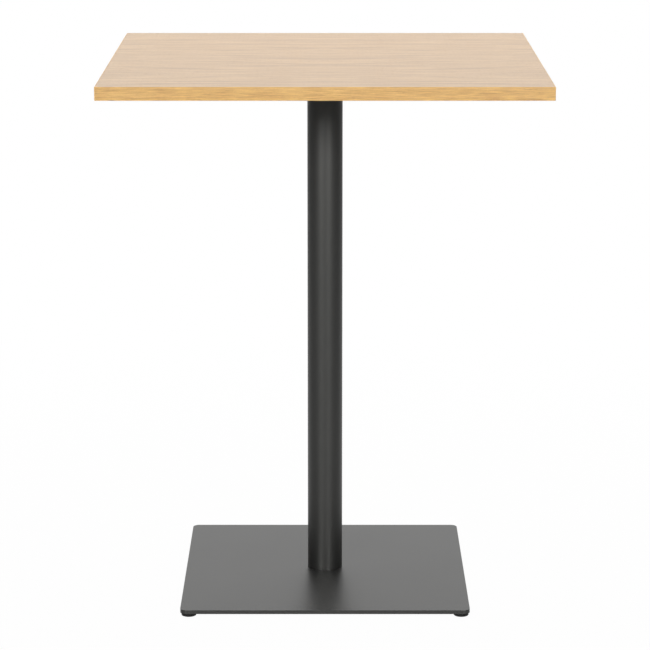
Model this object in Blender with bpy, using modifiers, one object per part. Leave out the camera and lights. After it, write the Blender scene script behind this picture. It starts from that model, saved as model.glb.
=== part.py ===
"""Square bistro table: a veneered board on a round steel column and a flat steel foot plate.

Metres, +Z up. The origin is on the floor under the column, and the board's front edge
faces -Y. The pieces stack up from the floor: four levelling glides, the foot plate, the
column with a disc welded in each mouth, the mounting plate, and the board on top of it.
"""

import math

import bmesh
import bpy

# Board: a chipboard core between two veneers, with a band glued round its edge
BOARD_WIDTH = 0.600
BOARD_DEPTH = 0.600
BOARD_THICKNESS = 0.018
TABLE_HEIGHT = 0.758
VENEER_THICKNESS = 0.0006
EDGE_BAND_THICKNESS = 0.001
EDGE_BAND_ARRIS = 0.0004

# Threaded inserts, sunk into the underside of the board
INSERT_DIAMETER = 0.010
INSERT_COVER = 0.0055  # board left above an insert

# Mounting plate between column and board
MOUNTING_PLATE_WIDTH = 0.220
MOUNTING_PLATE_THICKNESS = 0.004
MOUNTING_PLATE_CORNER = 0.012
MOUNTING_HOLE_INSET = 0.016  # from the plate's side to a corner hole's centre

# Screws, all with the same thread and key
SCREW_DIAMETER = 0.006
SCREW_TIP_CHAMFER = 0.0006
SCREW_TIP_INSET = 0.0015  # a tip stops this far inside the far end of its thread
KEY_SOCKET_WIDTH = 0.004  # across the flats
KEY_SOCKET_DEPTH = 0.002
SUNK_HEAD_DIAMETER = 0.012
SUNK_HEAD_RIM = 0.0004
SUNK_HEAD_INSET = 0.0002  # the head lies this far below the plate's face
BUTTON_HEAD_DIAMETER = 0.0105
BUTTON_HEAD_HEIGHT = 0.0033
BUTTON_HEAD_FLAT = 0.0062  # flat end of the domed head
WASHER_DIAMETER = 0.012
WASHER_THICKNESS = 0.0016

# Column and the discs welded into its mouths
COLUMN_DIAMETER = 0.050
COLUMN_WALL = 0.002
UPPER_DISC_THICKNESS = 0.008
LOWER_DISC_THICKNESS = 0.010
DISC_SCREW_INSET = 0.007  # from a disc's rim to a screw's axis

# Foot plate
FOOT_PLATE_WIDTH = 0.405
FOOT_PLATE_DEPTH = 0.405
FOOT_PLATE_THICKNESS = 0.0055
FOOT_PLATE_CORNER = 0.0095
FOOT_PLATE_ARRIS = 0.0004

# Levelling glides: a plastic pad that holds the flanged end of a threaded stud
GLIDE_DIAMETER = 0.021
GLIDE_HEIGHT = 0.0047
GLIDE_INSET = 0.0015  # from the foot plate's side to the pad's rim
GLIDE_ROUNDING = 0.0012
GLIDE_SOLE = 0.001  # plastic under the stud's flange
GLIDE_KEY_HOLE = 0.005
STUD_DIAMETER = 0.006
STUD_TIP_CHAMFER = 0.0006
STUD_COVER = 0.001  # steel left above a stud's blind hole
STUD_FLANGE_DIAMETER = 0.012
STUD_FLANGE_HEIGHT = 0.0012
STUD_SOCKET_WIDTH = 0.003
STUD_SOCKET_DEPTH = 0.003

# Gap between neighbours that touch on the real table
SEAT_GAP = 0.0003

# How finely round shapes are divided
COLUMN_SIDES = 64
GLIDE_SIDES = 32
SCREW_SIDES = 16
CORNER_STEPS = 6
ROUNDING_STEPS = 3

# Heights that follow from the stack
FOOT_PLATE_BOTTOM = GLIDE_HEIGHT + SEAT_GAP
FOOT_PLATE_TOP = FOOT_PLATE_BOTTOM + FOOT_PLATE_THICKNESS
BOARD_BOTTOM = TABLE_HEIGHT - BOARD_THICKNESS
MOUNTING_PLATE_TOP = BOARD_BOTTOM - SEAT_GAP
MOUNTING_PLATE_BOTTOM = MOUNTING_PLATE_TOP - MOUNTING_PLATE_THICKNESS
COLUMN_BOTTOM = FOOT_PLATE_TOP + SEAT_GAP
COLUMN_TOP = MOUNTING_PLATE_BOTTOM - SEAT_GAP

# Cutters reach this far past the face that they open
CUTTER_REACH = 0.002
WELD_DISTANCE = 0.000001


for leftover in list(bpy.data.objects):
    bpy.data.objects.remove(leftover, do_unlink=True)


def new_collection(name):
    collection = bpy.data.collections.new(name)
    bpy.context.scene.collection.children.link(collection)
    return collection


PARTS = new_collection("bistro_table")
CUTTERS = new_collection("bistro_table_cutters")


def finish(name, colour, roughness, metallic=0.0):
    """A plain surface finish in linear colour."""
    material = bpy.data.materials.new(name)
    material.use_nodes = True
    material.diffuse_color = (*colour, 1.0)
    shader = material.node_tree.nodes["Principled BSDF"]
    shader.inputs["Base Color"].default_value = (*colour, 1.0)
    shader.inputs["Roughness"].default_value = roughness
    shader.inputs["Metallic"].default_value = metallic
    return material


OAK_FACE = finish("oak_face", (0.73, 0.58, 0.43), 0.5)
OAK_BACK = finish("oak_back", (0.66, 0.51, 0.37), 0.6)
OAK_EDGE = finish("oak_edge", (0.72, 0.45, 0.18), 0.5)
CHIPBOARD = finish("chipboard", (0.50, 0.36, 0.20), 0.9)
BRASS = finish("insert_brass", (0.72, 0.52, 0.22), 0.35, 1.0)
POWDER_COAT = finish("powder_coat", (0.030, 0.031, 0.030), 0.42)
BARE_STEEL = finish("bare_steel", (0.42, 0.42, 0.43), 0.4, 1.0)
ZINC = finish("zinc_plate", (0.62, 0.63, 0.65), 0.3, 1.0)
BLACK_SCREW = finish("black_screw", (0.03, 0.03, 0.03), 0.4, 1.0)
PAD_PLASTIC = finish("pad_plastic", (0.012, 0.012, 0.012), 0.5)


def empty(name, location, parent=None):
    frame = bpy.data.objects.new(name, None)
    frame.location = location
    frame.parent = parent
    PARTS.objects.link(frame)
    return frame


def place(name, mesh, material, location, parent):
    mesh.materials.append(material)
    part = bpy.data.objects.new(name, mesh)
    part.location = location
    part.parent = parent
    PARTS.objects.link(part)
    return part


def cutter(name, mesh, location, parent=None):
    tool = bpy.data.objects.new(name, mesh)
    tool.location = location
    tool.parent = parent
    tool.hide_render = True
    tool.display_type = "WIRE"
    CUTTERS.objects.link(tool)
    return tool


def cut(part, tools):
    for tool in tools:
        opening = part.modifiers.new("cut_" + tool.name, "BOOLEAN")
        opening.operation = "DIFFERENCE"
        opening.object = tool


def turn(part, sides):
    """Sweeps a profile round its Z axis."""
    sweep = part.modifiers.new("turned", "SCREW")
    sweep.axis = "Z"
    sweep.angle = 2 * math.pi
    sweep.steps = sides
    sweep.render_steps = sides
    sweep.use_merge_vertices = True
    sweep.merge_threshold = WELD_DISTANCE
    sweep.use_smooth_shade = True
    return part


def round_edges(part, width, steps):
    bevel = part.modifiers.new("rounded", "BEVEL")
    bevel.width = width
    bevel.segments = steps
    bevel.limit_method = "ANGLE"
    bevel.angle_limit = math.radians(60)
    return part


def profile(name, points, closed=False):
    """A profile of (radius, height) points for a turned shape."""
    links = [(i, i + 1) for i in range(len(points) - 1)]
    if closed:
        links.append((len(points) - 1, 0))
    mesh = bpy.data.meshes.new(name)
    mesh.from_pydata([(radius, 0.0, height) for radius, height in points], links, [])
    return mesh


def box(name, size):
    shape = bmesh.new()
    bmesh.ops.create_cube(shape, size=1.0)
    bmesh.ops.scale(shape, vec=size, verts=shape.verts)
    mesh = bpy.data.meshes.new(name)
    shape.to_mesh(mesh)
    shape.free()
    return mesh


def cylinder(name, radius, bottom, top, sides):
    shape = bmesh.new()
    bmesh.ops.create_cone(
        shape, cap_ends=True, segments=sides, radius1=radius, radius2=radius, depth=top - bottom
    )
    bmesh.ops.translate(shape, vec=(0.0, 0.0, (bottom + top) / 2), verts=shape.verts)
    mesh = bpy.data.meshes.new(name)
    shape.to_mesh(mesh)
    shape.free()
    mesh.shade_smooth()
    mesh.set_sharp_from_angle(angle=math.radians(40))
    return mesh


def ring(name, inner, outer, bottom, top):
    """The closed profile of a plain ring."""
    return profile(name, [(outer, top), (outer, bottom), (inner, bottom), (inner, top)], closed=True)


def rounded_rectangle(width, depth, radius):
    """Outline points, anticlockwise from the right-hand side."""
    points = []
    for quarter, (side_x, side_y) in enumerate([(1, 1), (-1, 1), (-1, -1), (1, -1)]):
        centre_x = side_x * (width / 2 - radius)
        centre_y = side_y * (depth / 2 - radius)
        for step in range(CORNER_STEPS + 1):
            angle = (quarter + step / CORNER_STEPS) * math.pi / 2
            points.append((centre_x + radius * math.cos(angle), centre_y + radius * math.sin(angle)))
    return points


def sheet(name, outline, thickness):
    """A flat plate, centred on its own origin, from an outline."""
    curve = bpy.data.curves.new(name + "_outline", "CURVE")
    curve.dimensions = "2D"
    curve.fill_mode = "BOTH"
    curve.extrude = thickness / 2
    spline = curve.splines.new("POLY")
    spline.points.add(len(outline) - 1)
    for point, (x, y) in zip(spline.points, outline):
        point.co = (x, y, 0.0, 1.0)
    spline.use_cyclic_u = True
    pattern = bpy.data.objects.new(name + "_pattern", curve)
    PARTS.objects.link(pattern)
    evaluated = pattern.evaluated_get(bpy.context.evaluated_depsgraph_get())
    mesh = bpy.data.meshes.new_from_object(evaluated)
    bpy.data.objects.remove(pattern)
    shape = bmesh.new()
    shape.from_mesh(mesh)
    bmesh.ops.remove_doubles(shape, verts=shape.verts, dist=WELD_DISTANCE)
    bmesh.ops.dissolve_limit(
        shape, angle_limit=math.radians(1), verts=shape.verts, edges=shape.edges
    )
    bmesh.ops.recalc_face_normals(shape, faces=shape.faces)
    shape.to_mesh(mesh)
    shape.free()
    return mesh


def tip(radius, length, chamfer):
    """The end of a threaded shank, from its axis out to its full radius."""
    return [(0.0, length), (radius - chamfer, length), (radius, length - chamfer)]


def key_socket(name, width, depth, location, parent):
    """A six-sided pocket that opens downwards at its own origin."""
    across_corners = width / math.cos(math.pi / 6)
    mesh = cylinder(name, across_corners / 2, -CUTTER_REACH, depth, 6)
    return cutter(name, mesh, location, parent)


def four_ways(offset_x, offset_y):
    """(name, x, y) of four places in a rectangle."""
    return [
        ("front_left", -offset_x, -offset_y),
        ("front_right", offset_x, -offset_y),
        ("back_left", -offset_x, offset_y),
        ("back_right", offset_x, offset_y),
    ]


TABLE = empty("table", (0.0, 0.0, 0.0))
BORE_RADIUS = SCREW_DIAMETER / 2 + SEAT_GAP
DISC_RADIUS = COLUMN_DIAMETER / 2 - COLUMN_WALL - SEAT_GAP
DISC_SCREW_OFFSET = (DISC_RADIUS - DISC_SCREW_INSET) / math.sqrt(2)
MOUNTING_HOLE_OFFSET = MOUNTING_PLATE_WIDTH / 2 - MOUNTING_HOLE_INSET


def board():
    """Core, two veneers, four edge bands and the four inserts in the underside."""
    panel_width = BOARD_WIDTH - 2 * (EDGE_BAND_THICKNESS + SEAT_GAP)
    panel_depth = BOARD_DEPTH - 2 * (EDGE_BAND_THICKNESS + SEAT_GAP)
    core_thickness = BOARD_THICKNESS - 2 * (VENEER_THICKNESS + SEAT_GAP)
    middle = BOARD_BOTTOM + BOARD_THICKNESS / 2

    core = place(
        "board_core",
        box("board_core", (panel_width, panel_depth, core_thickness)),
        CHIPBOARD,
        (0.0, 0.0, middle),
        TABLE,
    )
    back = place(
        "underside_veneer",
        box("underside_veneer", (panel_width, panel_depth, VENEER_THICKNESS)),
        OAK_BACK,
        (0.0, 0.0, BOARD_BOTTOM + VENEER_THICKNESS / 2),
        TABLE,
    )
    place(
        "top_veneer",
        box("top_veneer", (panel_width, panel_depth, VENEER_THICKNESS)),
        OAK_FACE,
        (0.0, 0.0, TABLE_HEIGHT - VENEER_THICKNESS / 2),
        TABLE,
    )

    long_band = (BOARD_WIDTH, EDGE_BAND_THICKNESS, BOARD_THICKNESS)
    short_band = (EDGE_BAND_THICKNESS, panel_depth, BOARD_THICKNESS)
    band_y = (BOARD_DEPTH - EDGE_BAND_THICKNESS) / 2
    band_x = (BOARD_WIDTH - EDGE_BAND_THICKNESS) / 2
    for side, size, x, y in [
        ("front", long_band, 0.0, -band_y),
        ("back", long_band, 0.0, band_y),
        ("left", short_band, -band_x, 0.0),
        ("right", short_band, band_x, 0.0),
    ]:
        name = "edge_band_" + side
        band = place(name, box(name, size), OAK_EDGE, (x, y, middle), TABLE)
        round_edges(band, EDGE_BAND_ARRIS, 1)

    insert_radius = INSERT_DIAMETER / 2
    insert_length = BOARD_THICKNESS - INSERT_COVER
    for corner, x, y in four_ways(MOUNTING_HOLE_OFFSET, MOUNTING_HOLE_OFFSET):
        name = "threaded_insert_" + corner
        sleeve = ring(name, BORE_RADIUS, insert_radius, 0.0, insert_length)
        turn(place(name, sleeve, BRASS, (x, y, BOARD_BOTTOM), TABLE), SCREW_SIDES)
        hole_name = "insert_hole_" + corner
        hole = cylinder(
            hole_name,
            insert_radius + SEAT_GAP,
            -CUTTER_REACH,
            insert_length + SEAT_GAP,
            SCREW_SIDES,
        )
        tool = cutter(hole_name, hole, (x, y, BOARD_BOTTOM))
        cut(core, [tool])
        cut(back, [tool])


def sunk_screw_profile(name, length):
    """A countersunk screw that stands on its head."""
    shank = SCREW_DIAMETER / 2
    head = SUNK_HEAD_DIAMETER / 2
    cone_end = SUNK_HEAD_RIM + head - shank
    points = tip(shank, length, SCREW_TIP_CHAMFER)
    points += [(shank, cone_end), (head, SUNK_HEAD_RIM), (head, 0.0), (0.0, 0.0)]
    return profile(name, points)


def sunk_hole_profile(name, length):
    """The countersunk hole round such a screw, open at both ends."""
    head = SUNK_HEAD_DIAMETER / 2 + SEAT_GAP
    cone_end = SUNK_HEAD_RIM + head - BORE_RADIUS
    top = length + CUTTER_REACH
    points = [(0.0, top), (BORE_RADIUS, top), (BORE_RADIUS, cone_end), (head, SUNK_HEAD_RIM)]
    points += [(head, -CUTTER_REACH), (0.0, -CUTTER_REACH)]
    return profile(name, points)


def sunk_screws(end, face, length, upside_down, metal):
    """Four countersunk screws through a plate into a disc, and the holes that hold them."""
    tools = []
    for corner, x, y in four_ways(DISC_SCREW_OFFSET, DISC_SCREW_OFFSET):
        head = empty(f"{end}_screw_axis_{corner}", (x, y, face), TABLE)
        if upside_down:
            head.rotation_euler = (math.pi, 0.0, 0.0)
        name = f"{end}_screw_{corner}"
        screw = place(name, sunk_screw_profile(name, length), metal, (0.0, 0.0, 0.0), head)
        turn(screw, SCREW_SIDES)
        cut(screw, [key_socket(name + "_key", KEY_SOCKET_WIDTH, KEY_SOCKET_DEPTH, (0, 0, 0), head)])
        hole_name = f"{end}_hole_{corner}"
        hole = cutter(hole_name, sunk_hole_profile(hole_name, length), (0.0, 0.0, 0.0), head)
        tools.append(turn(hole, SCREW_SIDES))
    return tools


def disc(name, bottom, thickness, tools):
    mesh = cylinder(name, DISC_RADIUS, 0.0, thickness, COLUMN_SIDES)
    cut(place(name, mesh, BARE_STEEL, (0.0, 0.0, bottom), TABLE), tools)


def button_screw_profile(name, length):
    """A dome-headed screw that stands on its head."""
    shank = SCREW_DIAMETER / 2
    head = BUTTON_HEAD_DIAMETER / 2
    flat = BUTTON_HEAD_FLAT / 2
    points = tip(shank, length, SCREW_TIP_CHAMFER) + [(shank, BUTTON_HEAD_HEIGHT)]
    for step in range(ROUNDING_STEPS + 1):
        angle = step / ROUNDING_STEPS * math.pi / 2
        radius = flat + (head - flat) * math.cos(angle)
        points.append((radius, BUTTON_HEAD_HEIGHT * (1 - math.sin(angle))))
    return profile(name, points + [(0.0, 0.0)])


def mounting_plate():
    """The plate under the board, bolted down to the column and up into the inserts."""
    outline = rounded_rectangle(MOUNTING_PLATE_WIDTH, MOUNTING_PLATE_WIDTH, MOUNTING_PLATE_CORNER)
    plate = place(
        "mounting_plate",
        sheet("mounting_plate", outline, MOUNTING_PLATE_THICKNESS),
        POWDER_COAT,
        (0.0, 0.0, MOUNTING_PLATE_BOTTOM + MOUNTING_PLATE_THICKNESS / 2),
        TABLE,
    )

    head_face = MOUNTING_PLATE_TOP - SUNK_HEAD_INSET
    upper_disc_bottom = COLUMN_TOP - UPPER_DISC_THICKNESS
    sunk_length = head_face - upper_disc_bottom - SCREW_TIP_INSET
    tools = sunk_screws("column_top", head_face, sunk_length, True, ZINC)
    cut(plate, tools)
    disc("upper_end_disc", upper_disc_bottom, UPPER_DISC_THICKNESS, tools)

    washer_bottom = MOUNTING_PLATE_BOTTOM - SEAT_GAP - WASHER_THICKNESS
    head_bottom = washer_bottom - SEAT_GAP - BUTTON_HEAD_HEIGHT
    insert_top = TABLE_HEIGHT - INSERT_COVER
    button_length = insert_top - SCREW_TIP_INSET - head_bottom
    for corner, x, y in four_ways(MOUNTING_HOLE_OFFSET, MOUNTING_HOLE_OFFSET):
        hole_name = "board_hole_" + corner
        hole = cylinder(
            hole_name,
            BORE_RADIUS,
            -CUTTER_REACH,
            MOUNTING_PLATE_THICKNESS + CUTTER_REACH,
            SCREW_SIDES,
        )
        cut(plate, [cutter(hole_name, hole, (x, y, MOUNTING_PLATE_BOTTOM))])

        name = "board_washer_" + corner
        washer = ring(name, BORE_RADIUS, WASHER_DIAMETER / 2, 0.0, WASHER_THICKNESS)
        turn(place(name, washer, ZINC, (x, y, washer_bottom), TABLE), SCREW_SIDES)

        name = "board_screw_" + corner
        spot = (x, y, head_bottom)
        screw = place(name, button_screw_profile(name, button_length), ZINC, spot, TABLE)
        turn(screw, SCREW_SIDES)
        cut(screw, [key_socket(name + "_key", KEY_SOCKET_WIDTH, KEY_SOCKET_DEPTH, spot, None)])


def column():
    radius = COLUMN_DIAMETER / 2
    wall = ring("column_tube", radius - COLUMN_WALL, radius, COLUMN_BOTTOM, COLUMN_TOP)
    turn(place("column_tube", wall, POWDER_COAT, (0.0, 0.0, 0.0), TABLE), COLUMN_SIDES)


def glide_pad_profile(name):
    """A round pad with a pocket that traps the stud's flange and a hole for the key."""
    rim = GLIDE_DIAMETER / 2
    pocket = STUD_FLANGE_DIAMETER / 2 + SEAT_GAP
    pocket_top = GLIDE_SOLE + STUD_FLANGE_HEIGHT + 2 * SEAT_GAP
    neck = STUD_DIAMETER / 2 + SEAT_GAP
    key_hole = GLIDE_KEY_HOLE / 2
    points = [(key_hole, GLIDE_SOLE), (pocket, GLIDE_SOLE), (pocket, pocket_top)]
    points += [(neck, pocket_top), (neck, GLIDE_HEIGHT), (rim, GLIDE_HEIGHT)]
    for step in range(ROUNDING_STEPS + 1):
        angle = step / ROUNDING_STEPS * math.pi / 2
        radius = rim - GLIDE_ROUNDING * (1 - math.cos(angle))
        points.append((radius, GLIDE_ROUNDING * (1 - math.sin(angle))))
    points.append((key_hole, 0.0))
    return profile(name, points, closed=True)


def stud_profile(name, length):
    """A flanged stud that stands on its flange."""
    shank = STUD_DIAMETER / 2
    flange = STUD_FLANGE_DIAMETER / 2
    points = tip(shank, length, STUD_TIP_CHAMFER)
    points += [(shank, STUD_FLANGE_HEIGHT), (flange, STUD_FLANGE_HEIGHT), (flange, 0.0), (0.0, 0.0)]
    return profile(name, points)


def foot_plate():
    """The plate on the floor, with the column above it and a glide in each corner."""
    outline = rounded_rectangle(FOOT_PLATE_WIDTH, FOOT_PLATE_DEPTH, FOOT_PLATE_CORNER)
    plate = place(
        "foot_plate",
        sheet("foot_plate", outline, FOOT_PLATE_THICKNESS),
        POWDER_COAT,
        (0.0, 0.0, FOOT_PLATE_BOTTOM + FOOT_PLATE_THICKNESS / 2),
        TABLE,
    )
    round_edges(plate, FOOT_PLATE_ARRIS, 1)

    head_face = FOOT_PLATE_BOTTOM + SUNK_HEAD_INSET
    lower_disc_top = COLUMN_BOTTOM + LOWER_DISC_THICKNESS
    sunk_length = lower_disc_top - SCREW_TIP_INSET - head_face
    tools = sunk_screws("column_foot", head_face, sunk_length, False, BLACK_SCREW)
    cut(plate, tools)
    disc("lower_end_disc", COLUMN_BOTTOM, LOWER_DISC_THICKNESS, tools)

    glide_margin = GLIDE_INSET + GLIDE_DIAMETER / 2
    glide_x = FOOT_PLATE_WIDTH / 2 - glide_margin
    glide_y = FOOT_PLATE_DEPTH / 2 - glide_margin
    hole_top = FOOT_PLATE_TOP - STUD_COVER
    stud_bottom = GLIDE_SOLE + SEAT_GAP
    stud_length = hole_top - SEAT_GAP - stud_bottom
    for corner, x, y in four_ways(glide_x, glide_y):
        axis = empty("glide_axis_" + corner, (x, y, 0.0), TABLE)
        name = "glide_pad_" + corner
        pad = place(name, glide_pad_profile(name), PAD_PLASTIC, (0.0, 0.0, 0.0), axis)
        turn(pad, GLIDE_SIDES)

        name = "glide_stud_" + corner
        spot = (0.0, 0.0, stud_bottom)
        stud = place(name, stud_profile(name, stud_length), ZINC, spot, axis)
        turn(stud, SCREW_SIDES)
        cut(stud, [key_socket(name + "_key", STUD_SOCKET_WIDTH, STUD_SOCKET_DEPTH, spot, axis)])

        hole_name = "stud_hole_" + corner
        hole_radius = STUD_DIAMETER / 2 + SEAT_GAP
        hole_bottom = FOOT_PLATE_BOTTOM - CUTTER_REACH
        hole = cylinder(hole_name, hole_radius, hole_bottom, hole_top, SCREW_SIDES)
        cut(plate, [cutter(hole_name, hole, (x, y, 0.0))])


board()
mounting_plate()
column()
foot_plate()
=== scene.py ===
"""The looks of a square bistro table: an oak-veneered board on a powder-coated steel column.

The pieces are made in the order of assembly, from the board down to the glides, around the
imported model. Metres, +Z up, with the origin on the floor under the column.
"""

import math

import bpy
from mathutils import Matrix, Vector


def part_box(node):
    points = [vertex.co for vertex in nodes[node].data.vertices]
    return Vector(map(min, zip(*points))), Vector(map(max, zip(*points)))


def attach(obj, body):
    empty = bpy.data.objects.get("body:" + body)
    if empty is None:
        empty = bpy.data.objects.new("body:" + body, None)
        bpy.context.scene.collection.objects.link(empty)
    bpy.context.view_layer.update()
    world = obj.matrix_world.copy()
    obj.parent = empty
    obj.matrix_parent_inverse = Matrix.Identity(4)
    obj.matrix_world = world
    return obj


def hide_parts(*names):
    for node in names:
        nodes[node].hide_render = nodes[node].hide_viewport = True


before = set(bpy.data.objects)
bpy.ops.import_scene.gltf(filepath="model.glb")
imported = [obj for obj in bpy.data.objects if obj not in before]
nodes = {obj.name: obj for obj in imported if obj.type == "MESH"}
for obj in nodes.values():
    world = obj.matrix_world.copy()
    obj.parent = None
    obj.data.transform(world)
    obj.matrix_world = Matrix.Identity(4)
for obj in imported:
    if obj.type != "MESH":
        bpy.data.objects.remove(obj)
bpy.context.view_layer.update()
CORNERS = ("front_left", "front_right", "back_left", "back_right")


# --- Board core ---
# An 18 mm board's middle layer: chipboard, pressed from glued wood flakes and sanded flat.
# It only shows in the bores that are drilled into it from below for the inserts.

FLAKE_LIGHT = (0.58, 0.43, 0.25, 1.0)
FLAKE_DARK = (0.36, 0.24, 0.12, 1.0)
FLAKES_PER_METRE = 420.0


class Value:
    """One output in a finish. Sums and products of values add the Math nodes that they need."""

    def __init__(self, finish, socket):
        self.finish = finish
        self.socket = socket

    def __add__(self, other):
        return self.finish.maths("ADD", self, other)

    def __sub__(self, other):
        return self.finish.maths("SUBTRACT", self, other)

    def __rsub__(self, other):
        return self.finish.maths("SUBTRACT", other, self)

    def __mul__(self, other):
        return self.finish.maths("MULTIPLY", self, other)

    def __truediv__(self, other):
        return self.finish.maths("DIVIDE", self, other)

    __radd__ = __add__
    __rmul__ = __mul__


class Nodes:
    """A node tree that values and finishes are built in."""

    def __init__(self, tree):
        self.tree = tree

    def node(self, kind, inputs=None, output=0, stops=(), **settings):
        """Adds a node: its settings and a ramp's stops first, then what goes into its sockets."""
        node = self.tree.nodes.new(kind)
        for setting, value in settings.items():
            setattr(node, setting, value)
        for number, (position, colour) in enumerate(stops):
            if number < 2:
                stop = node.color_ramp.elements[number]
                stop.position = position
            else:
                stop = node.color_ramp.elements.new(position)
            stop.color = colour
        for socket, value in (inputs or {}).items():
            if isinstance(value, Value):
                self.tree.links.new(value.socket, node.inputs[socket])
            else:
                node.inputs[socket].default_value = value
        return Value(self, node.outputs[output])

    def maths(self, operation, *terms):
        return self.node("ShaderNodeMath", dict(enumerate(terms)), operation=operation)

    def length(self, vector):
        return self.node("ShaderNodeVectorMath", {0: vector}, output=1, operation="LENGTH")

    def between(self, value, low, high):
        """0 below low, 1 above high, and even in between."""
        inputs = {"Value": value, "From Min": low, "From Max": high}
        return self.node("ShaderNodeMapRange", inputs)


class Finish(Nodes):
    """A surface finish. Its patterns read each piece's own coordinates, in metres."""

    def __init__(self, name, **constants):
        self.material = bpy.data.materials.new(name)
        self.material.use_nodes = True
        super().__init__(self.material.node_tree)
        self.shader = self.tree.nodes["Principled BSDF"]
        for socket, value in constants.items():
            self.shader.inputs[socket.replace("_", " ")].default_value = value
        self.spot = self.node("ShaderNodeTexCoord", output="Object")

    def axes(self):
        """The piece's own x, y and z."""
        return [self.node("ShaderNodeSeparateXYZ", {0: self.spot}, output=i) for i in range(3)]

    def speckle(self, x, y, z, detail=2.0, roughness=0.5):
        """Smooth noise from 0 to 1. What multiplies x, y and z is its grains per metre there."""
        place = self.node("ShaderNodeCombineXYZ", {0: x, 1: y, 2: z})
        inputs = {"Vector": place, "Scale": 1.0, "Detail": detail, "Roughness": roughness}
        return self.node("ShaderNodeTexNoise", inputs)

    def blend(self, share, first, second):
        """A colour from first, at share 0, to second, at share 1."""
        inputs = {0: share, 6: first, 7: second}
        return self.node("ShaderNodeMix", inputs, output=2, data_type="RGBA")

    def use(self, **surface):
        """Links values to the shader: base_color, roughness, height in metres, and so on."""
        height = surface.pop("height", None)
        for socket, value in surface.items():
            name = socket.replace("_", " ").title()
            self.tree.links.new(value.socket, self.shader.inputs[name])
        if height is not None:
            bump = self.node("ShaderNodeBump", {"Height": height, "Distance": 1.0})
            self.tree.links.new(bump.socket, self.shader.inputs["Normal"])
        return self


chipboard = Finish("chipboard", Roughness=0.85)
x, y, z = chipboard.axes()
cells = {"Vector": chipboard.spot, "Scale": FLAKES_PER_METRE}
flakes = chipboard.node("ShaderNodeTexVoronoi", cells, output="Color")
flake_tone = chipboard.node("ShaderNodeSeparateColor", {0: flakes})
fibres = chipboard.speckle(x * 300.0, y * 1500.0, z * 1500.0)
chipboard.use(
    base_color=chipboard.blend(flake_tone * 0.7 + fibres * 0.3, FLAKE_DARK, FLAKE_LIGHT),
    height=flake_tone * 0.0001 + fibres * 0.00005,
)


def dress(node, finish):
    """Gives a CAD node that stays its finish."""
    nodes[node].data.materials.clear()
    nodes[node].data.materials.append(finish.material)


dress("board_core", chipboard)


# --- Veneers ---
# 0.6 mm oak leaves, glued to both faces of the core with their grain along the front edge,
# sanded and lacquered in satin. On the top they lie side by side, matched end to end.

VENEER_CLEARANCE = 0.00005
LEAF_WIDTH = 0.154
LEAF_JOINT = -0.085  # where two leaves meet, from the board's middle
LEAF_STEP = 0.4  # how far apart in the log two neighbours were cut, as the pattern sees it
LOOSE_SWAY = 0.035
PALE_OAK = [  # dark wood, common wood, light wood and pores
    (0.525, 0.314, 0.150, 1.0),
    (0.684, 0.450, 0.235, 1.0),
    (0.803, 0.551, 0.305, 1.0),
    (0.396, 0.227, 0.103, 1.0),
]


def deselect_all():
    bpy.ops.object.select_all(action="DESELECT")


def block(name, low, high):
    """A block between two corners, left in object mode as the only selected piece."""
    deselect_all()
    low = Vector(low)
    high = Vector(high)
    bpy.ops.mesh.primitive_cube_add(size=1.0, location=(low + high) / 2)
    piece = bpy.context.object
    piece.name = name
    piece.data.name = name
    piece.scale = high - low
    bpy.ops.object.transform_apply(location=True, rotation=True, scale=True)
    return piece


def select_edges(piece, wanted):
    """Goes into edit mode with just the edges selected for whose two ends wanted is true."""
    bpy.ops.object.mode_set(mode="EDIT")
    bpy.ops.mesh.select_mode(type="EDGE")
    bpy.ops.mesh.select_all(action="DESELECT")
    bpy.ops.object.mode_set(mode="OBJECT")
    for edge in piece.data.edges:
        first, second = (piece.data.vertices[i].co for i in edge.vertices)
        edge.select = wanted(first, second)
    bpy.ops.object.mode_set(mode="EDIT")


def bevel_edges(piece, wanted, width, steps):
    select_edges(piece, wanted)
    bpy.ops.mesh.bevel(offset=width, segments=steps, profile=0.5, affect="EDGES")
    bpy.ops.object.mode_set(mode="OBJECT")


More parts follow.
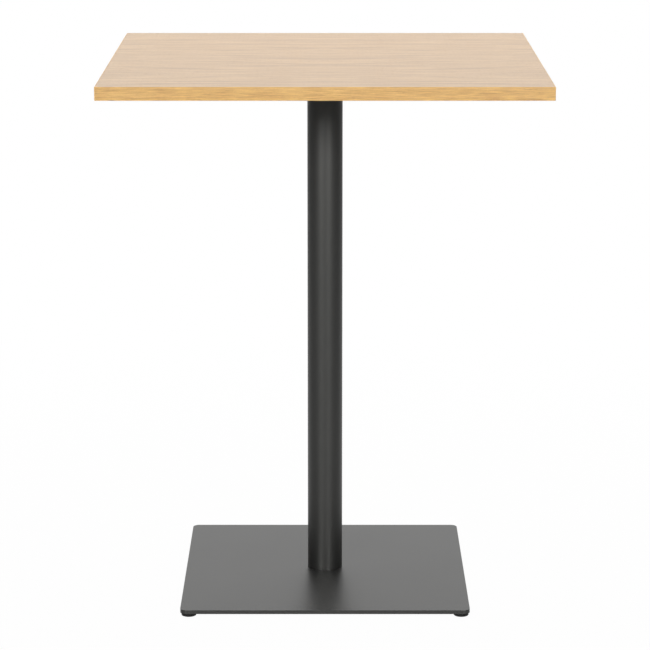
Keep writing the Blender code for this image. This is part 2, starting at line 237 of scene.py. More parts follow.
def oak(name, axes, tones, figure=1.0, sway=LOOSE_SWAY, matched=False):
    """Lacquered oak, with its grain along the first of the piece's axes (0, 1 or 2).

    The larger figure is, the finer is the pattern; sway is how far its lines stray sideways.
    Matched leaves lie side by side, and end to end in the middle.
    """
    dark, common, light, pore = tones
    finish = Finish(name)
    spot = finish.axes()
    run, side, inward = (spot[axis] * figure for axis in axes)
    if matched:
        leaf = (side - LEAF_JOINT) / LEAF_WIDTH
        inward = inward + finish.maths("FLOOR", leaf) * LEAF_STEP
        run = finish.maths("ABSOLUTE", run)
    wander = finish.speckle(run * 2.6, side * 4.0, inward * 4.0, detail=1.0)
    ripple = finish.speckle(run * 16.0, side * 24.0, inward * 24.0, detail=2.0)
    bent = side + (wander + ripple * 0.07) * sway
    rings = finish.speckle(run * 1.7, bent * 88.0, inward * 60.0, detail=4.0, roughness=0.65)
    mottle = finish.speckle(run * 10.0, side * 34.0, inward * 34.0, detail=3.0, roughness=0.6)
    streaks = finish.speckle(run * 12.0, bent * 300.0, inward * 300.0, detail=4.0, roughness=0.65)
    fibres = finish.speckle(run * 90.0, bent * 1900.0, inward * 1900.0, detail=1.0)
    pores = finish.speckle(run * 160.0, bent * 3400.0, inward * 3400.0, detail=0.0)
    open_pores = finish.between(pores + (rings - 0.5) * 0.3, 0.60, 0.70)
    mixed = rings * 0.23 + mottle * 0.12 + streaks * 0.50 + fibres * 0.15
    colour = finish.node(
        "ShaderNodeValToRGB",
        {0: finish.between(mixed, 0.40, 0.60)},
        stops=[(0.0, dark), (1.0, light), (0.5, common)],
    )
    return finish.use(
        base_color=finish.blend(open_pores * 0.4, colour, pore),
        roughness=0.36 + fibres * 0.10 + open_pores * 0.15,
        height=fibres * 0.000005 - open_pores * 0.00002,
    )


def mount_piece(piece, body, slot, finish, *replaced):
    """Finishes a new piece: its material, its body and the CAD nodes it stands for."""
    piece.data.materials.clear()
    piece.data.materials.append(finish.material)
    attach(piece, body)
    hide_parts(*replaced)


low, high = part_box("edge_band_front")
board_x = high.x
board_y = -low.y
board_top = high.z
board_bottom = low.z
band_thickness = high.y - low.y
panel_x = board_x - band_thickness - VENEER_CLEARANCE
panel_y = board_y - band_thickness - VENEER_CLEARANCE
face_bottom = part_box("top_veneer")[0].z
back_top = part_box("underside_veneer")[1].z
oak_face = oak("oak_face", (0, 1, 2), PALE_OAK, matched=True)
oak_back = oak("oak_back", (0, 1, 2), PALE_OAK)
low, high = (-panel_x, -panel_y, face_bottom), (panel_x, panel_y, board_top)
mount_piece(block("oak_face_veneer", low, high), "table", "oak_face", oak_face, "top_veneer")
low, high = (-panel_x, -panel_y, board_bottom), (panel_x, panel_y, back_top)
mount_piece(block("oak_back_veneer", low, high), "table", "oak_back", oak_back, "underside_veneer")


# --- Edge bands ---
# 1 mm golden oak strips, glued round the board and trimmed flush. The long ones cover the
# ends of the short ones, and the outer edges are eased with fine paper.

BAND_EASING = 0.00045
BAND_STEPS = 3
BAND_FIGURE = 2.9
BAND_SWAY = 0.008
GOLDEN_OAK = [  # dark wood, common wood, light wood and pores
    (0.508, 0.246, 0.050, 1.0),
    (0.728, 0.405, 0.089, 1.0),
    (0.900, 0.557, 0.140, 1.0),
    (0.420, 0.202, 0.048, 1.0),
]
CREASE_ANGLE = math.radians(35)
TOLERANCE = 0.000001

oak_edge_x = oak("oak_edge_lengthwise", (0, 2, 1), GOLDEN_OAK, BAND_FIGURE, BAND_SWAY)
oak_edge_y = oak("oak_edge_crosswise", (1, 2, 0), GOLDEN_OAK, BAND_FIGURE, BAND_SWAY)
BANDS = {"front": oak_edge_x, "back": oak_edge_x, "left": oak_edge_y, "right": oak_edge_y}


def smooth(piece):
    """Smooth shading on roundings, with the flats kept flat and the creases sharp."""
    bpy.ops.object.shade_smooth_by_angle(angle=CREASE_ANGLE)
    flats = piece.modifiers.new("flats", "WEIGHTED_NORMAL")
    flats.weight = 100
    flats.keep_sharp = True
    bpy.ops.object.modifier_apply(modifier=flats.name)


def outer_edge(first, second):
    """An edge that lies on the board's outside, not against the veneers or another band."""
    middle = (first + second) / 2
    outside = [
        abs(abs(middle.x) - board_x) < TOLERANCE,
        abs(abs(middle.y) - board_y) < TOLERANCE,
        min(abs(middle.z - board_top), abs(middle.z - board_bottom)) < TOLERANCE,
    ]
    return sum(outside) >= 2


for side, finish in BANDS.items():
    low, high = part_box("edge_band_" + side)
    if side in ("left", "right"):
        high.y = board_y - band_thickness
        low.y = -high.y
    band = block("oak_band_" + side, low, high)
    bevel_edges(band, outer_edge, BAND_EASING, BAND_STEPS)
    smooth(band)
    mount_piece(band, "table", "oak_edge", finish, "edge_band_" + side)


# --- Threaded inserts ---
# Four M6 brass sleeves with a coarse outer thread, screwed into the bores in the underside so
# that the board can be taken off and put on again.

THREAD_PITCH = 0.001
THREAD_DEPTH = 0.0005
INSERT_BORE_RADIUS = 0.0033
INSERT_BORE_THREAD_DEPTH = 0.0002
INSERT_PITCH = 0.0022
INSERT_THREAD_DEPTH = 0.0009
INSERT_CHAMFER = 0.0006
INSERT_PLAIN_END = 0.001
ROWS_PER_PITCH = 6
THREAD_STEPS = 32
BRASS_BRIGHT = (0.78, 0.60, 0.26, 1.0)
BRASS_TARNISHED = (0.62, 0.58, 0.34, 1.0)


def turned(name, outline, steps):
    """A closed outline of (radius, height) points, spun round the Z axis."""
    deselect_all()
    bpy.ops.mesh.primitive_circle_add(vertices=len(outline), radius=1.0)
    piece = bpy.context.object
    piece.name = name
    piece.data.name = name
    for vertex, (radius, height) in zip(piece.data.vertices, outline):
        vertex.co = (radius, 0.0, height)
    bpy.ops.object.mode_set(mode="EDIT")
    bpy.ops.mesh.select_all(action="SELECT")
    bpy.ops.mesh.spin(steps=steps, angle=2 * math.pi, center=(0, 0, 0), axis=(0, 0, 1))
    bpy.ops.mesh.select_all(action="SELECT")
    bpy.ops.mesh.remove_doubles(threshold=TOLERANCE)
    bpy.ops.mesh.delete_loose()
    bpy.ops.mesh.select_all(action="SELECT")
    bpy.ops.mesh.normals_make_consistent(inside=False)
    bpy.ops.object.mode_set(mode="OBJECT")
    bpy.ops.object.shade_smooth_by_angle(angle=CREASE_ANGLE)
    return piece


def straight(radius, start, end, pitch=THREAD_PITCH):
    """Outline points up or down a straight wall, close enough together for a thread."""
    rows = max(2, round(abs(end - start) / pitch * ROWS_PER_PITCH))
    return [(radius, start + (end - start) * row / rows) for row in range(rows + 1)]


def cut_thread(piece, radius, low, high, pitch, depth):
    """Moves the wall at this radius in along a helix, or out where depth is negative."""
    for vertex in piece.data.vertices:
        spot = vertex.co
        reach = math.hypot(spot.x, spot.y)
        if abs(reach - radius) < TOLERANCE and low < spot.z < high:
            turn = spot.z / pitch - math.atan2(spot.y, spot.x) / (2 * math.pi)
            share = abs(2 * (turn % 1.0) - 1.0)
            spot.x *= 1.0 - depth * share / reach
            spot.y *= 1.0 - depth * share / reach


def set_out(pattern, kind, body, slot, finish):
    """Copies a piece that was made on the Z axis to each corner's CAD node of its kind."""
    for corner in CORNERS:
        low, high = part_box(f"{kind}_{corner}")
        shift = Vector(((low.x + high.x) / 2, (low.y + high.y) / 2, 0.0))
        piece = pattern.copy()
        piece.data = pattern.data.copy()
        piece.name = f"{pattern.name}_{corner}"
        piece.data.name = piece.name
        piece.data.transform(Matrix.Translation(shift))
        bpy.context.scene.collection.objects.link(piece)
        mount_piece(piece, body.format(corner), slot, finish, f"{kind}_{corner}")
    bpy.data.objects.remove(pattern)


low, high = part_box("threaded_insert_front_left")
wall = (high.x - low.x) / 2
bore = INSERT_BORE_RADIUS
lower, upper = low.z + INSERT_CHAMFER, high.z - INSERT_CHAMFER
outline = [(wall - INSERT_CHAMFER, low.z)]
outline += straight(wall, lower, upper, INSERT_PITCH)
outline += [(wall - INSERT_CHAMFER, high.z), (bore + INSERT_CHAMFER, high.z)]
outline += straight(bore, upper, lower)
outline += [(bore + INSERT_CHAMFER, low.z)]
insert = turned("insert", outline, THREAD_STEPS)
lower, upper = low.z + INSERT_PLAIN_END, high.z - INSERT_PLAIN_END
cut_thread(insert, wall, lower, upper, INSERT_PITCH, INSERT_THREAD_DEPTH)
cut_thread(insert, bore, lower, upper, THREAD_PITCH, -INSERT_BORE_THREAD_DEPTH)

brass = Finish("insert_brass", Metallic=1.0, Roughness=0.32)
x, y, z = brass.axes()
tarnish = brass.speckle(x * 240.0, y * 240.0, z * 240.0)
brass.use(
    base_color=brass.blend(tarnish, BRASS_BRIGHT, BRASS_TARNISHED),
    roughness=0.24 + tarnish * 0.2,
)
set_out(insert, "threaded_insert", "table", "insert_brass", brass)


# --- Mounting plate ---
# A laser-cut 4 mm steel square between column and board, deburred, with countersinks for the
# column's screws above and plain holes in the corners. Powder-coated in fine satin anthracite.

PLATE_CORNER = 0.012
PLATE_DEBURR = 0.0004
CORNER_STEPS = 12
SHARP_ANGLE = math.radians(50)
HOLE_STEPS = 48
SCREW_HOLE_RADIUS = 0.0033
SINK_RADIUS = 0.0063
SINK_RIM = 0.0004  # straight rim over a countersink's cone
SINK_DEPTH = SINK_RADIUS - SCREW_HOLE_RADIUS
DRILL_REACH = 0.01  # how far a drill runs out of the plate
COAT_DARK = (0.0070, 0.0072, 0.0070, 1.0)
COAT_LIGHT = (0.0105, 0.0107, 0.0104, 1.0)
# The next colour warms every reflection in the coat: painted warm light, as a powder coat's own
# gloss has no colour.
COAT_PAINTED_WARM_SHEEN = (1.0, 1.0, 0.96, 1.0)
COAT_ROUGHNESS = 0.36

coat = Finish("powder_coat", IOR=1.45, Specular_Tint=COAT_PAINTED_WARM_SHEEN)
x, y, z = coat.axes()
cloud = coat.speckle(x * 9.0, y * 9.0, z * 9.0)
peel = coat.speckle(x * 520.0, y * 520.0, z * 520.0, detail=1.0)
grit = coat.speckle(x * 2400.0, y * 2400.0, z * 2400.0, detail=1.0)
coat.use(
    base_color=coat.blend(cloud * 0.6 + grit * 0.4, COAT_DARK, COAT_LIGHT),
    roughness=COAT_ROUGHNESS + grit * 0.08 + cloud * 0.02,
    height=peel * 0.000008 + grit * 0.000008,
)


def upright_edge(first, second):
    return abs(first.x - second.x) + abs(first.y - second.y) < TOLERANCE


def deburr(piece, width, steps=2):
    """Rounds every sharp edge a little."""
    bevel = piece.modifiers.new("deburred", "BEVEL")
    bevel.width = width
    bevel.segments = steps
    bevel.limit_method = "ANGLE"
    bevel.angle_limit = SHARP_ANGLE
    deselect_all()
    bpy.context.view_layer.objects.active = piece
    piece.select_set(True)
    bpy.ops.object.modifier_apply(modifier=bevel.name)
    smooth(piece)


def drill(piece, tool):
    """Takes a tool's shape out of a piece, and the tool away."""
    bpy.context.view_layer.update()
    opening = piece.modifiers.new("drilled", "BOOLEAN")
    opening.operation = "DIFFERENCE"
    opening.solver = "EXACT"
    opening.object = tool
    deselect_all()
    bpy.context.view_layer.objects.active = piece
    piece.select_set(True)
    bpy.ops.object.modifier_apply(modifier=opening.name)
    bpy.data.objects.remove(tool)


def rod(radius, low, high, spot, steps=HOLE_STEPS, upper_radius=None):
    """A drill bit, or a countersink where its upper radius differs."""
    deselect_all()
    bpy.ops.mesh.primitive_cone_add(
        vertices=steps,
        radius1=radius,
        radius2=radius if upper_radius is None else upper_radius,
        depth=high - low,
        location=(spot[0], spot[1], (low + high) / 2),
    )
    bpy.ops.object.transform_apply(location=True, rotation=True, scale=True)
    return bpy.context.object


def middle_of(node):
    low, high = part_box(node)
    return (low + high) / 2


def plate(name, node, corner):
    """A flat plate with rounded corners, as large as its CAD node."""
    piece = block(name, *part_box(node))
    bevel_edges(piece, upright_edge, corner, CORNER_STEPS)
    return piece


low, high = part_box("mounting_plate")
rim = high.z - SINK_RIM
bottom, top = low.z - DRILL_REACH, high.z + DRILL_REACH
top_plate = plate("board_mounting_plate", "mounting_plate", PLATE_CORNER)
for corner in CORNERS:
    spot = middle_of("board_screw_" + corner)
    drill(top_plate, rod(SCREW_HOLE_RADIUS, bottom, top, spot))
    spot = middle_of("column_top_screw_" + corner)
    drill(top_plate, rod(SCREW_HOLE_RADIUS, bottom, top, spot))
    cone = rod(SCREW_HOLE_RADIUS, rim - SINK_DEPTH, rim, spot, upper_radius=SINK_RADIUS)
    drill(top_plate, cone)
    drill(top_plate, rod(SINK_RADIUS, rim, top, spot))
deburr(top_plate, PLATE_DEBURR)
mount_piece(top_plate, "table", "powder_coat", coat, "mounting_plate")


# --- Board screws and washers ---
# M6 button-head screws with a 4 mm hexagon socket, driven from below through stamped washers
# and the mounting plate into the inserts. Both are steel, bright zinc-plated.

ZINC_BLUE = (0.60, 0.63, 0.67, 1.0)
ZINC_WARM = (0.66, 0.64, 0.58, 1.0)
SHANK_RADIUS = 0.003
TIP_CHAMFER = 0.0006
KEY_WIDTH = 0.004
KEY_DEPTH = 0.002
KEY_SIDES = 6
DOME_STEPS = 10
DOME_FLAT = 0.0031
DOME_HEIGHT = 0.0033
HEAD_RADIUS = 0.00525
BUTTON_PLAIN_NECK = 0.002
WASHER_ROLL = 0.0003

zinc = Finish("zinc_plate", Metallic=1.0, Roughness=0.3)
x, y, z = zinc.axes()
film = zinc.speckle(x * 160.0, y * 160.0, z * 160.0)
crystals = zinc.speckle(x * 5000.0, y * 5000.0, z * 5000.0, detail=1.0)
zinc.use(
    base_color=zinc.blend(film, ZINC_BLUE, ZINC_WARM),
    roughness=0.22 + crystals * 0.16 + film * 0.05,
    height=crystals * 0.000002,
)


def key_socket(piece, width, face, depth):
    """A hexagon socket in a face, this wide across its flats."""
    radius = width / 2 / math.cos(math.pi / KEY_SIDES)
    drill(piece, rod(radius, face - depth, face + depth, (0.0, 0.0), steps=KEY_SIDES))


low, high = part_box("board_screw_front_left")
outline = [(0.0, high.z), (SHANK_RADIUS - TIP_CHAMFER, high.z)]
outline += straight(SHANK_RADIUS, high.z - TIP_CHAMFER, low.z + DOME_HEIGHT)
for step in range(DOME_STEPS + 1):
    angle = step / DOME_STEPS * math.pi / 2
    reach = DOME_FLAT + (HEAD_RADIUS - DOME_FLAT) * math.cos(angle)
    outline.append((reach, low.z + DOME_HEIGHT * (1 - math.sin(angle))))
outline.append((0.0, low.z))
screw = turned("button_screw", outline, THREAD_STEPS)
lower, upper = low.z + DOME_HEIGHT + BUTTON_PLAIN_NECK, high.z - TIP_CHAMFER / 2
cut_thread(screw, SHANK_RADIUS, lower, upper, THREAD_PITCH, THREAD_DEPTH)
key_socket(screw, KEY_WIDTH, low.z, KEY_DEPTH)
set_out(screw, "board_screw", "table", "zinc_plate", zinc)

low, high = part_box("board_washer_front_left")
rim = (high.x - low.x) / 2
outline = [(rim - WASHER_ROLL, low.z), (rim, low.z + WASHER_ROLL), (rim, high.z)]
outline += [(SCREW_HOLE_RADIUS, high.z), (SCREW_HOLE_RADIUS, low.z + WASHER_ROLL / 2)]
outline += [(SCREW_HOLE_RADIUS + WASHER_ROLL / 2, low.z)]
set_out(turned("washer", outline, HOLE_STEPS), "board_washer", "table", "zinc_plate", zinc)


# --- Column screws ---
# M6 countersunk screws that hold the column: four bright ones from above through the mounting
# plate, and four blackened ones from below through the foot plate, into the column's end discs.

SUNK_HEAD_RADIUS = 0.006
SUNK_HEAD_RIM = 0.0004
SUNK_PLAIN_NECK = 0.001
BLACK_OXIDE = (0.022, 0.022, 0.024, 1.0)
BLACK_WORN = (0.085, 0.080, 0.075, 1.0)

black_steel = Finish("black_screw", Metallic=1.0, Roughness=0.4)
x, y, z = black_steel.axes()
rub = black_steel.speckle(x * 700.0, y * 700.0, z * 700.0, detail=3.0)
black_steel.use(
    base_color=black_steel.blend(black_steel.between(rub, 0.5, 0.75), BLACK_OXIDE, BLACK_WORN),
    roughness=0.45 - rub * 0.15,
)


def sunk_screw(name, face, tip):
    """A countersunk screw with its head's flat at face and its point at tip."""
    way = 1.0 if tip > face else -1.0
    rim = face + way * SUNK_HEAD_RIM
    neck = face + way * (SUNK_HEAD_RIM + SUNK_HEAD_RADIUS - SHANK_RADIUS)
    outline = [(0.0, tip), (SHANK_RADIUS - TIP_CHAMFER, tip)]
    outline += straight(SHANK_RADIUS, tip - way * TIP_CHAMFER, neck)
    outline += [(SUNK_HEAD_RADIUS, rim), (SUNK_HEAD_RADIUS, face), (0.0, face)]
    piece = turned(name, outline, THREAD_STEPS)
    lower, upper = sorted((neck + way * SUNK_PLAIN_NECK, tip - way * TIP_CHAMFER / 2))
    cut_thread(piece, SHANK_RADIUS, lower, upper, THREAD_PITCH, THREAD_DEPTH)
    key_socket(piece, KEY_WIDTH, face, KEY_DEPTH)
    return piece


low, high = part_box("column_top_screw_front_left")
screw = sunk_screw("top_sunk_screw", high.z, low.z)
set_out(screw, "column_top_screw", "table", "zinc_plate", zinc)
low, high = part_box("column_foot_screw_front_left")
screw = sunk_screw("foot_sunk_screw", low.z, high.z)
set_out(screw, "column_foot_screw", "table", "black_screw", black_steel)


# --- Column ---
# A 50 x 2 mm steel tube, sawn square and deburred, with a turned steel disc welded into
# each mouth. The tube is powder-coated like the plates; the discs are left bare inside.

COLUMN_STEPS = 128
COLUMN_WALL = 0.002
COLUMN_DEBURR = 0.0003
WELD_HEAT_START = 0.017  # from the column's axis
WELD_HEAT_END = 0.0225
STEEL_PALE = (0.50, 0.49, 0.48, 1.0)
STEEL_DARK = (0.33, 0.33, 0.34, 1.0)
STEEL_STRAW = (0.46, 0.33, 0.16, 1.0)

low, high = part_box("column_tube")
plate_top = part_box("foot_plate")[1].z
plate_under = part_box("mounting_plate")[0].z
deselect_all()
bpy.ops.mesh.primitive_cylinder_add(
    vertices=COLUMN_STEPS,
    radius=high.x,
    depth=plate_under - plate_top,
    location=(0.0, 0.0, (plate_under + plate_top) / 2),
    end_fill_type="NOTHING",
)
bpy.ops.object.transform_apply(location=True, rotation=True, scale=True)
tube = bpy.context.object
tube.name = "column"
tube.data.name = "column"
wall = tube.modifiers.new("wall", "SOLIDIFY")
wall.thickness = COLUMN_WALL
wall.offset = -1.0
bpy.ops.object.modifier_apply(modifier=wall.name)
deburr(tube, COLUMN_DEBURR)
mount_piece(tube, "table", "powder_coat", coat, "column_tube")

bare_steel = Finish("bare_steel", Metallic=1.0, Roughness=0.4)
x, y, z = bare_steel.axes()
reach = bare_steel.length(bare_steel.node("ShaderNodeCombineXYZ", {0: x, 1: y, 2: 0.0}))
feed = bare_steel.speckle(reach * 5200.0, z * 40.0, reach * 0.0, detail=1.0)
weld_heat = bare_steel.between(reach, WELD_HEAT_START, WELD_HEAT_END)
turned_steel = bare_steel.blend(feed, STEEL_DARK, STEEL_PALE)
bare_steel.use(
    base_color=bare_steel.blend(weld_heat * 0.7, turned_steel, STEEL_STRAW),
    roughness=0.3 + feed * 0.2,
    height=feed * 0.00001,
)
dress("upper_end_disc", bare_steel)
dress("lower_end_disc", bare_steel)


# --- Foot plate ---
# A laser-cut square of 5.5 mm steel, its corners rounded and its edges eased, bored from
# below for the column's screws and tapped for the four glides. Coated like the column.

FOOT_CORNER = 0.0095
FOOT_EASING = 0.0005
FOOT_EASING_STEPS = 3
STUD_HOLE_RADIUS = 0.0033
STUD_COVER = 0.001  # steel left above a stud's hole

low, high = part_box("foot_plate")
rim = low.z + SINK_RIM
bottom, top = low.z - DRILL_REACH, high.z + DRILL_REACH
foot = plate("steel_foot_plate", "foot_plate", FOOT_CORNER)
for corner in CORNERS:
    spot = middle_of("column_foot_screw_" + corner)
    drill(foot, rod(SCREW_HOLE_RADIUS, bottom, top, spot))
    drill(foot, rod(SINK_RADIUS, rim, rim + SINK_DEPTH, spot, upper_radius=SCREW_HOLE_RADIUS))
    drill(foot, rod(SINK_RADIUS, bottom, rim, spot))
    spot = middle_of("glide_pad_" + corner)
    drill(foot, rod(STUD_HOLE_RADIUS, bottom, high.z - STUD_COVER, spot))
deburr(foot, FOOT_EASING, FOOT_EASING_STEPS)
mount_piece(foot, "table", "powder_coat", coat, "foot_plate")


# --- Levelling glides ---
# Black polyamide pads, moulded round the flanged end of a zinc-plated M6 stud. Turned with a
# key from below, each stud screws in the foot plate and takes its pad up or down.

PAD_ROUNDING = 0.0012
PAD_ROUNDING_STEPS = 8
PAD_TOP_ROUNDING = 0.0004
PAD_STEPS = 64
SOLE_THICKNESS = 0.001
POCKET_RADIUS = 0.0063
POCKET_TOP = 0.0028
NECK_RADIUS = 0.0033
KEY_HOLE_RADIUS = 0.0025
KEY_HOLE_CHAMFER = 0.0003
GROOVE_RADII = (0.0078, 0.0058)
GROOVE_HALF_WIDTH = 0.0003
GROOVE_DEPTH = 0.0002
SCUFF_HEIGHT = 0.0004  # how far up from the floor a pad is scuffed
FLANGE_RADIUS = 0.006
FLANGE_HEIGHT = 0.0012
FLANGE_CHAMFER = 0.0002
STUD_PLAIN_NECK = 0.0005
STUD_KEY_WIDTH = 0.003
STUD_KEY_DEPTH = 0.003
# The pads' colours are darker than black polyamide itself: partly the plastic's own black, partly
# painted shade for the shade under the foot plate. The low Specular IOR Level of their finish dims
# their reflections for the same shade.
PAD_BLACK_AND_SHADE = (0.0040, 0.0038, 0.0036, 1.0)
PAD_GREY_AND_SHADE = (0.0085, 0.0080, 0.0075, 1.0)
SOLE_SCUFF = (0.060, 0.055, 0.050, 1.0)

low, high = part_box("glide_pad_front_left")
rim = (high.x - low.x) / 2
outline = [(KEY_HOLE_RADIUS, SOLE_THICKNESS), (POCKET_RADIUS, SOLE_THICKNESS)]
outline += [(POCKET_RADIUS, POCKET_TOP), (NECK_RADIUS, POCKET_TOP), (NECK_RADIUS, high.z)]
outline += [(rim - PAD_TOP_ROUNDING, high.z), (rim, high.z - PAD_TOP_ROUNDING)]
for step in range(PAD_ROUNDING_STEPS + 1):
    angle = step / PAD_ROUNDING_STEPS * math.pi / 2
    reach = rim - PAD_ROUNDING * (1 - math.cos(angle))
    outline.append((reach, low.z + PAD_ROUNDING * (1 - math.sin(angle))))
for groove in GROOVE_RADII:
    outline.append((groove + GROOVE_HALF_WIDTH, low.z))
    outline.append((groove, low.z + GROOVE_DEPTH))
    outline.append((groove - GROOVE_HALF_WIDTH, low.z))
outline.append((KEY_HOLE_RADIUS + KEY_HOLE_CHAMFER, low.z))
outline.append((KEY_HOLE_RADIUS, low.z + KEY_HOLE_CHAMFER))
pad = turned("glide_pad_moulding", outline, PAD_STEPS)

polyamide = Finish("pad_plastic", Specular_IOR_Level=0.14)
x, y, z = polyamide.axes()
grain = polyamide.speckle(x * 3200.0, y * 3200.0, z * 3200.0, detail=1.0)
flow = polyamide.speckle(x * 260.0, y * 260.0, z * 260.0)
scratches = polyamide.speckle(x * 180.0, y * 2600.0, z * 200.0)
sole = 1.0 - polyamide.between(z, 0.0, SCUFF_HEIGHT)
scuffed = sole * polyamide.between(scratches, 0.45, 0.7)
moulded = polyamide.blend(flow * 0.6 + grain * 0.4, PAD_BLACK_AND_SHADE, PAD_GREY_AND_SHADE)
polyamide.use(
    base_color=polyamide.blend(scuffed, moulded, SOLE_SCUFF),
    roughness=0.42 + grain * 0.12 + scuffed * 0.2,
    height=grain * 0.000008 - scuffed * 0.00001,
)
set_out(pad, "glide_pad", "glide_pad_{}", "pad_plastic", polyamide)

low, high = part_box("glide_stud_front_left")
flange_top = low.z + FLANGE_HEIGHT
flange_inner = FLANGE_RADIUS - FLANGE_CHAMFER
outline = [(0.0, high.z), (SHANK_RADIUS - TIP_CHAMFER, high.z)]
outline += straight(SHANK_RADIUS, high.z - TIP_CHAMFER, flange_top)
outline += [(flange_inner, flange_top), (FLANGE_RADIUS, flange_top - FLANGE_CHAMFER)]
outline += [(FLANGE_RADIUS, low.z + FLANGE_CHAMFER), (flange_inner, low.z), (0.0, low.z)]
stud = turned("stud", outline, THREAD_STEPS)
lower, upper = flange_top + STUD_PLAIN_NECK, high.z - TIP_CHAMFER / 2
cut_thread(stud, SHANK_RADIUS, lower, upper, THREAD_PITCH, THREAD_DEPTH)
key_socket(stud, STUD_KEY_WIDTH, low.z, STUD_KEY_DEPTH)
set_out(stud, "glide_stud", "glide_stud_{}", "zinc_plate", zinc)


# --- Studio ---
# A white sweep with the table on it. Two soft boxes and two strips stand beside the camera,
# three boxes behind the table, and one hangs above. Grey cards are only seen in the coat.

FLOOR_RADIUS = 9.0
FLOOR_SIDES = 96
FLOOR_PAPER = (0.9, 0.9, 0.9, 1.0)
WHITE = (1.0, 1.0, 1.0, 1.0)
BLACK = (0.0, 0.0, 0.0, 1.0)
GLOW_NEAR = 0.98
GLOW_START = 0.6
GLOW_END = 1.6
SKY_FILL = 0.12
COLUMN_MIDDLE = (0.0, 0.0, 0.6)
FRONT_POWER = 30.5
STRIP_POWER = 172.0
REAR_POWER = 20.0
BACK_POWER = 33.5
TOP_POWER = 26.5
CARD_NEAR = (0.8, 0.8, 0.8, 1.0)
CARD_FAR = (0.25, 0.25, 0.25, 1.0)
CARD_START = 0.8
CARD_END = 5.0
UPRIGHT = math.radians(90)
CAMERA_PLACE = (0.0, -3.782, 1.2362)
CAMERA_TILT = math.radians(77.138)
CAMERA_LENS = 149.36


def seen(tree):
    """1 for the camera's rays, straight or by way of a reflection or a clear piece."""
    camera_ray, glossy_ray, clear_ray = (
        tree.node("ShaderNodeLightPath", output=f"Is {kind} Ray")
        for kind in ("Camera", "Glossy", "Transmission")
    )
    return tree.maths("MAXIMUM", tree.maths("MAXIMUM", camera_ray, glossy_ray), clear_ray)


deselect_all()
bpy.ops.mesh.primitive_circle_add(
    vertices=FLOOR_SIDES, radius=FLOOR_RADIUS, fill_type="NGON"
)
floor = bpy.context.object
floor.name = "floor"
white_floor = Finish("white_floor")
floor.data.materials.append(white_floor.material)

# The floor glows white, a little less near the table, so that a faint shadow stays on it.
# From below it is clear.
paper = white_floor.node("ShaderNodeBsdfDiffuse", {"Color": FLOOR_PAPER})
glow = white_floor.node("ShaderNodeEmission", {"Color": WHITE})
away = white_floor.between(white_floor.length(white_floor.spot), GLOW_START, GLOW_END)
glow_share = seen(white_floor) * (GLOW_NEAR + (1.0 - GLOW_NEAR) * away)
upper_side = white_floor.node("ShaderNodeMixShader", {0: glow_share, 1: paper, 2: glow})
underneath = white_floor.node("ShaderNodeNewGeometry", output="Backfacing")
clear = white_floor.node("ShaderNodeBsdfTransparent")
both_sides = white_floor.node("ShaderNodeMixShader", {0: underneath, 1: upper_side, 2: clear})
surface = white_floor.tree.nodes["Material Output"].inputs["Surface"]
white_floor.tree.links.new(both_sides.socket, surface)

world = bpy.data.worlds.new("studio")
world.use_nodes = True
sky = Nodes(world.node_tree)
strength = SKY_FILL + (1.0 - SKY_FILL) * seen(sky)
background = sky.tree.nodes["Background"]
background.inputs["Color"].default_value = WHITE
sky.tree.links.new(strength.socket, background.inputs["Strength"])
bpy.context.scene.world = world


def soft_box(name, place, aim, size, power, diffuse=True, glossy=True):
    """A lamp behind white cloth, which the camera doesn't see."""
    bpy.ops.object.light_add(type="AREA", location=place)
    lamp = bpy.context.object
    lamp.name = name
    lamp.rotation_euler = (Vector(aim) - Vector(place)).to_track_quat("-Z", "Y").to_euler()
    lamp.data.shape = "RECTANGLE"
    lamp.data.size, lamp.data.size_y = size
    lamp.data.energy = power
    lamp.visible_camera = False
    lamp.visible_diffuse = diffuse
    lamp.visible_glossy = glossy


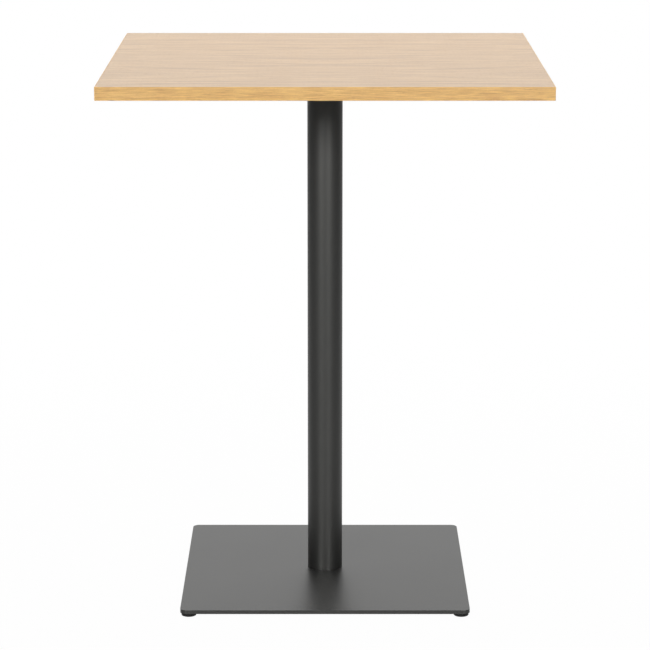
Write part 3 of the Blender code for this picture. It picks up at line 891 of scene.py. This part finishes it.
soft_box("front_left_box", (-1.25, -2.95, 1.6), COLUMN_MIDDLE, (0.8, 0.8), FRONT_POWER)
soft_box("front_right_box", (1.25, -2.95, 1.6), COLUMN_MIDDLE, (0.8, 0.8), FRONT_POWER)
soft_box("left_strip", (-1.5, -3.2, 1.68), COLUMN_MIDDLE, (1.2, 0.6), STRIP_POWER, diffuse=False)
soft_box("right_strip", (1.5, -3.2, 1.68), COLUMN_MIDDLE, (1.2, 0.6), STRIP_POWER, diffuse=False)
soft_box("rear_left_box", (-1.6, 2.8, 1.3), COLUMN_MIDDLE, (1.0, 1.0), REAR_POWER, glossy=False)
soft_box("rear_right_box", (1.6, 2.8, 1.3), COLUMN_MIDDLE, (1.0, 1.0), REAR_POWER, glossy=False)
soft_box("back_box", (0.0, 5.0, 1.8), (0.0, 0.0, 0.4), (6.0, 3.0), BACK_POWER)
soft_box("top_box", (0.0, 1.0, 2.8), (0.0, 0.0, 0.7), (2.4, 1.6), TOP_POWER)


def grey_card(name, middle, turn, size):
    """A card that is only seen in the coat. It is darker away from the table."""
    grey = Finish(name, Base_Color=BLACK, Emission_Strength=1.0)
    away = grey.between(grey.length(grey.spot), CARD_START, CARD_END)
    grey.use(emission_color=grey.blend(away, CARD_NEAR, CARD_FAR))
    deselect_all()
    bpy.ops.mesh.primitive_plane_add(size=1.0, location=middle, rotation=turn)
    card = bpy.context.object
    card.name = name
    card.scale = (*size, 1.0)
    bpy.ops.object.transform_apply(location=True, rotation=True, scale=True)
    card.data.materials.append(grey.material)
    card.visible_camera = False
    card.visible_diffuse = False
    card.visible_transmission = False
    card.visible_shadow = False


grey_card("card_floor", (0.0, 0.0, 0.002), (0.0, 0.0, 0.0), (12.0, 12.0))
grey_card("card_left", (-5.0, -0.75, 1.2), (0.0, UPRIGHT, 0.0), (2.4, 10.5))
grey_card("card_right", (5.0, -0.75, 1.2), (0.0, UPRIGHT, 0.0), (2.4, 10.5))
grey_card("card_front", (0.0, -6.0, 1.2), (UPRIGHT, 0.0, 0.0), (10.0, 2.4))

bpy.ops.object.camera_add(location=CAMERA_PLACE, rotation=(CAMERA_TILT, 0.0, 0.0))
camera = bpy.context.object
camera.name = "camera"
camera.data.lens = CAMERA_LENS
bpy.context.scene.camera = camera
bpy.context.scene.view_settings.view_transform = "Standard"
